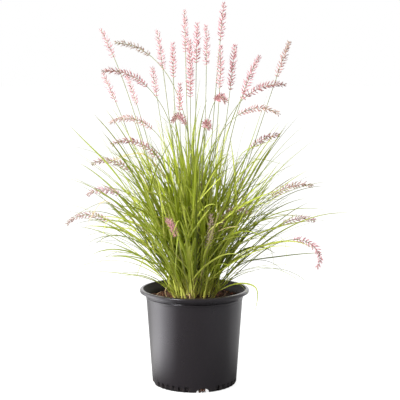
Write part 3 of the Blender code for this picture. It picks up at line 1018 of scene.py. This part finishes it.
def soilMaterial():
    material, tree, shader = newMaterial("pottingSoil")
    clods = useGroup(tree, "grain", Scale=90.0, Contrast=0.16)
    specks = useGroup(tree, "grain", Scale=420.0, Contrast=0.12)
    tint = mark(tree, "tint")
    colour = layered(
        soil["dark"],
        (clods["Mask"], tuple(0.55 * c for c in soil["brown"])),
        (ramp(tint, 0, 1, 0.35, 0.8), soil["brown"]),
        (ramp(tint, 0, 1, 0.8, 0.95), soil["red"]),
        (mark(tree, "dry"), soil["tan"]),
        (times(specks["Mask"], 0.3), soil["dark"]),
    )
    finishMaterial(shader, colour, ramp(specks["Mask"], 0.8, 0.97), clods["Height"], 0.5, 0.8 * mm)
    return material


def soilHeight(x, y):
    radius = math.hypot(x, y)
    lumps = 2.4 * mm * noise.noise(Vector((x * 55, y * 55, 0.3)))
    crumbs = 1.5 * mm * noise.noise(Vector((x * 190, y * 190, 1.7)))
    mound = 3.0 * mm * math.exp(-((radius / (52 * mm)) ** 2))
    edge = -1.5 * mm * max(0, (radius - 88 * mm) / (12 * mm))
    return soil["top"] + lumps + crumbs + mound + edge


def lumpRings(rng, centres, sizes, stretch, sides=5):
    # small uneven lumps: four rings each, squashed and turned at random
    count = len(centres)
    t = np.array([0.0, 0.3, 0.7, 1.0])[None, :]
    girth = np.array([0.35, 1.0, 0.9, 0.3])[None, :] * rng.uniform(0.75, 1.2, (count, 4))
    axis = unit(rng.normal(0, 1, (count, 3)) * np.array([1, 1, 0.45]))
    side = unit(np.cross(axis, unit(rng.normal(0, 1, (count, 3)))))
    length = sizes * stretch
    line = centres[:, None] + axis[:, None] * ((t - 0.5) * length[:, None])[..., None]
    level = np.repeat(side[:, None], 4, 1)
    return sweep(line, level, np.cross(np.repeat(axis[:, None], 4, 1), level), roundSection(sides),
                 girth * sizes[:, None] / 2, girth * sizes[:, None] * rng.uniform(0.3, 0.5, (count, 1)))


def scattered(rng, count, inner, outer):
    radius = np.sqrt(rng.uniform(inner**2, outer**2, count))
    azimuth = rng.uniform(0, 2 * math.pi, count)
    x, y = radius * np.cos(azimuth), radius * np.sin(azimuth)
    return np.stack([x, y, [soilHeight(a, b) for a, b in zip(x, y)]], -1)


def soilBody():
    # the root ball as one closed lump, its top crumbly
    wallLow = pot["baseRadius"] - pot["wall"] - 2.2 * mm
    radii = np.linspace(0.4 * mm, soil["mouth"], soil["rings"])
    rings = [levelRing(soil["sides"], radius, 0) for radius in radii]
    for ring in rings:
        ring[:, 2] = [soilHeight(x, y) for x, y in ring[:, :2]]
    for radius, height in ((wallLow + 0.6 * mm, 20 * mm), (wallLow - 6 * mm, 9.4 * mm), (0.4 * mm, 8.9 * mm)):
        rings.append(levelRing(soil["sides"], radius, height))
    return tubes(np.array([rings[::-1]]), 0, (0, 0, 1, 0.5), tint=0.1, dry=0.0)


def drainSpots(rng, count, hole, low):
    # places in the mouth of a drain hole, where soil and roots bulge out
    out, level = rng.uniform(79, 88, count) * mm, rng.uniform(-8, 5, count) * mm
    return atDrain(hole, out, level, rng.uniform(low, 9.5 * mm, count))


def makeSoil():
    rng = np.random.default_rng(5)
    body = soilBody()
    grains = scattered(rng, soil["grains"], 20 * mm, soil["mouth"] - 2 * mm)
    grains[:, 2] += 0.2 * mm
    bulges = [drainSpots(rng, 130, 0, 1.4 * mm)] + [drainSpots(rng, 30, hole, 6 * mm) for hole in (1, 2, 3)]
    grains = np.concatenate([grains] + bulges)
    sizes = rng.gamma(3.0, 0.75, len(grains)) * mm + 0.6 * mm
    sizes[soil["grains"]:] = np.minimum(sizes[soil["grains"]:], 2.4 * mm)
    tint = rng.uniform(0, 1, len(grains))[:, None, None]
    lumps = lumpRings(rng, grains, np.minimum(sizes, 6 * mm), 1.3)
    pebbles = tubes(lumps, 0, (0, 0.5, 1, 0.8), tint=tint, dry=0.0)
    chips = scattered(rng, soil["chips"], 30 * mm, soil["mouth"] - 6 * mm)
    chips[:, 2] += 0.8 * mm
    tint = rng.uniform(0.6, 1, soil["chips"])[:, None, None]
    dry = np.where(rng.uniform(0, 1, soil["chips"]) < 0.35, 0.7, 0.0)[:, None, None]
    lumps = lumpRings(rng, chips, rng.uniform(2.5, 4.5, soil["chips"]) * mm, 2.8)
    bark = tubes(lumps, 0, (0, 0.8, 1, 0.9), tint=tint, dry=dry)
    roots = scattered(rng, soil["roots"], 30 * mm, soil["mouth"] - 14 * mm) - np.array([0, 0, 0.5 * mm])
    hanging = drainSpots(rng, 16, 0, 7 * mm)
    roots = np.concatenate([roots, hanging])
    count = len(roots)
    down = np.arange(count) >= soil["roots"]
    lean = np.where(down, rng.uniform(120, 165, count), rng.uniform(60, 84, count))
    length = np.where(down, rng.uniform(4, 7, count), rng.uniform(6, 22, count)) * mm
    droop = np.where(down, 20, rng.uniform(10, 45, count))
    line, _, sideways, upward = archLines(roots, rng.uniform(0, 360, count), lean, droop, length, 1.0,
                                          rng.normal(0, 60, count), 8)
    thin = rng.uniform(0.16, 0.42, count)[:, None] * mm * np.linspace(1, 0.4, 8)[None, :]
    fibres = tubes(sweep(line, sideways, upward, roundSection(4), thin, thin), 0, (0, 0.9, 1, 1),
                   tint=0.9, dry=rng.uniform(0.3, 1, count)[:, None, None])
    makePiece("rootBall", [body, pebbles, bark, fibres], [soilMaterial()], "soil")
    print("soil made")


makeSoil()

crown = {
    "sheaths": 84,
    "outer": 43 * mm,
    "deadBlades": 16,
    "pale": fromScreen(206, 190, 112),
    "pink": fromScreen(140, 84, 56),
}


def crownMaterial():
    material, tree, shader = newMaterial("crownSheath")
    fibre = useGroup(tree, "fibre", Streaks=6.0, Breaks=4.0)
    grain = useGroup(tree, "grain", Scale=70.0, Contrast=0.2)
    colour = layered(
        leaf["lime"],
        (mark(tree, "tint"), leaf["green"]),
        (ramp(mark(tree, "along"), 0.9, 0, 0.05, 0.32), blend(fibre["Streak"], crown["pale"], crown["pink"])),
        (mark(tree, "dry"), blend(fibre["Streak"], leaf["straw"], leaf["rust"])),
        (mark(tree, "earth"), soil["dark"]),
        (times(grain["Mask"], 0.3), soil["brown"]),
    )
    finishMaterial(shader, colour, ramp(fibre["Streak"], 0.5, 0.8), fibre["Height"], 0.5, 0.3 * mm)
    return material


def makeCrown():
    rng = np.random.default_rng(17)
    low, top = (corner.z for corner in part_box("crown"))
    radii = np.linspace(0.5 * mm, crown["outer"], 12)
    profile = low + (top - low) * np.cos(radii / crown["outer"] * math.pi / 2) ** 0.8
    turns = np.arange(60) * 2 * math.pi / 60
    rings = []
    for number, (radius, height) in enumerate(zip(radii[::-1], profile[::-1])):
        lumpy = 1 + 0.03 * np.sin(turns * 9 + number) + 0.03 * np.sin(turns * 14 - number)
        rings.append(levelRing(60, radius * lumpy, height))
    foot = rings[0] * np.array([0.9, 0.9, 1]) - np.array([0, 0, 4 * mm])
    mound = np.array([[foot] + rings])
    chunks = [tubes(mound, 0, (0, 0, 1, 0.2), along=0.0, across=0.5, tint=0.5, dry=0.0, earth=0.92)]
    count = crown["sheaths"]
    radius = crown["outer"] * np.sqrt(rng.uniform(0.02, 1, count)) * 0.98
    azimuth = rng.uniform(0, 360, count)
    lean = 24 * (radius / crown["outer"]) ** 1.6 * rng.uniform(0.4, 1.1, count)
    root = around(np.radians(azimuth)) * radius[:, None]
    root[:, 2] = np.interp(radius, radii, profile) - 6 * mm
    length = rng.uniform(26, 74, count) * mm
    line, _, sideways, upward = archLines(root, azimuth, lean, rng.uniform(-4, 14, count), length, 1.5,
                                          rng.normal(0, 8, count), 9)
    wide = rng.uniform(1.5, 2.8, count)[:, None] * mm * np.linspace(1, 0.55, 9)[None, :]
    sheaths = sweep(line, sideways, upward, roundSection(7), wide, wide * 0.7)
    t = np.linspace(0, 1, 9)[None, :, None]
    dry = np.where(rng.uniform(0, 1, count) < 0.16, rng.uniform(0.5, 1, count), 0)[:, None, None]
    seven = np.abs(np.linspace(-1, 1, 7))
    chunks.append(tubes(sheaths, 0, (0, 0.2, 1, 0.65), along=t, across=seven,
                        tint=rng.uniform(0, 1, count)[:, None, None], dry=dry))
    count = crown["deadBlades"]
    azimuth = rng.uniform(0, 360, count)
    radius = rng.uniform(20, 42, count) * mm
    root = around(np.radians(azimuth)) * radius[:, None]
    root[:, 2] = np.interp(radius, radii, profile) - 2 * mm
    chunks.append(bladeChunk(rng, root, azimuth, rng.uniform(8, 50, count), rng.uniform(10, 150, count),
                             rng.uniform(40, 120, count) * mm, rng.uniform(0.8, 1.6, count) * mm,
                             np.ones(count), (0, 0.65, 1, 0.94)))
    # two dry scraps at the front: a pale hook that curls back over the soil, and a flat end across the stems
    scraps = np.array([[-54, -26, 182, 180, 34, -150, 40, 1.5], [4, -46, 227, -4, 78, 12, 26, 1.1]])
    lengths, widths = scraps[:, 6:].T * mm
    chunks.append(bladeChunk(rng, scraps[:, :3] * mm, *scraps[:, 3:6].T, lengths, widths, np.full(2, 0.9),
                             (0, 0.94, 1, 1), steady=True))
    makePiece("crownSheaths", chunks, [crownMaterial()], "crown")
    print("crown made")


makeCrown()

# ---- floor, light and camera

studio = {
    "room": 0.22,
    "leftWall": 0.35,
    "rightWall": 0.45,
    "backWall": 1.6,
    "ceiling": 0.5,
    "floorGlow": 0.86,
    "leftBounce": 5.0,
    "rightBounce": 0.36,
    "keyPower": 92,
    "leftPower": 27,
    "edgePower": 3.5,
    "distance": 2.6,
    "height": 0.73,
    "pitch": 7.3,
    "lens": 113.6,
    "shift": (0.0138, -0.0108),
}


def makeFloor():
    bpy.ops.mesh.primitive_plane_add(size=30, location=(0, 0, -0.4 * mm))
    floor = bpy.context.object
    floor.name = "studioFloor"
    material, tree, shader = newMaterial("paleFloor")
    shader.inputs["Base Color"].default_value = (0.3, 0.3, 0.3, 1)
    shader.inputs["Roughness"].default_value = 0.9
    shader.inputs["Specular IOR Level"].default_value = 0
    shader.inputs["Emission Color"].default_value = (1, 1, 1, 1)
    path = addNode(tree, "LightPath").outputs
    coords = ownPlace(tree)
    place = split(coords)
    # the sweep is bright to the left of the pot and dimmer to the right, which only its gloss shows
    turn = maths("ARCTAN2", place["Y"], times(place["X"], -1.0))
    left = times(ramp(turn, 0.0, studio["leftBounce"], -0.9, -0.05), ramp(turn, 1.0, 0.06, 0.0, 0.75))
    right = ramp(place["X"], 0.0, studio["rightBounce"], 0.1, 0.5)
    away = addNode(tree, "VectorMath", {0: coords}, operation="LENGTH").outputs["Value"]
    glossy = times(path["Is Glossy Ray"], times(plus(left, right), ramp(away, 0.0, 1.0, 0.12, 0.32)))
    seen = times(path["Is Camera Ray"], studio["floorGlow"])
    give(shader.inputs["Emission Strength"], plus(seen, glossy))
    floor.data.materials.append(material)


def areaLight(name, place, target, size, power):
    data = bpy.data.lights.new(name, "AREA")
    data.shape = "RECTANGLE"
    data.size, data.size_y = size
    data.energy = power
    lamp = newObject(name, data)
    lamp.location = place
    lamp.rotation_euler = (Vector(target) - Vector(place)).to_track_quat("-Z", "Y").to_euler()


def makeStudio():
    world = bpy.data.worlds.new("studioRoom")
    bpy.context.scene.world = world
    world.use_nodes = True
    tree = world.node_tree
    way = split(addNode(tree, "TexCoord").outputs["Generated"])
    left = ramp(way["X"], studio["leftWall"], 0.0, -1.0, -0.1)
    right = ramp(way["X"], 0.0, studio["rightWall"], 0.3, 1.0)
    back = ramp(way["Y"], 0.0, studio["backWall"], 0.6, 0.95)
    top = ramp(way["Z"], 0.0, studio["ceiling"], 0.1, 1.0)
    lit = plus(plus(plus(left, right), back), plus(top, studio["room"]))
    seen = addNode(tree, "LightPath").outputs["Is Camera Ray"]
    strength = addNode(tree, "Mix", {"Factor": seen, "A": lit, "B": 1.0}, data_type="FLOAT")
    give(tree.nodes["Background"].inputs["Strength"], strength.outputs["Result"])
    tree.nodes["Background"].inputs["Color"].default_value = (1, 1, 1, 1)
    areaLight("keyLight", (-1.7, -1.6, 1.7), (0, 0, 0.35), (0.8, 0.8), studio["keyPower"])
    areaLight("leftLight", (-1.7, 0.42, 0.6), (0, 0, 0.25), (1.7, 1.6), studio["leftPower"])
    areaLight("edgeLight", (1.5, 1.3, 0.6), (0, 0, 0.3), (0.35, 1.4), studio["edgePower"])
    lens = bpy.data.cameras.new("view")
    camera = newObject("view", lens)
    camera.location = (0, -studio["distance"], studio["height"])
    camera.rotation_euler = (math.radians(90 - studio["pitch"]), 0, 0)
    lens.lens = studio["lens"]
    lens.shift_x, lens.shift_y = studio["shift"]
    bpy.context.scene.camera = camera
    bpy.context.scene.view_settings.view_transform = "Standard"  # keeps the white of the studio white
    print("studio ready")


makeFloor()
makeStudio()
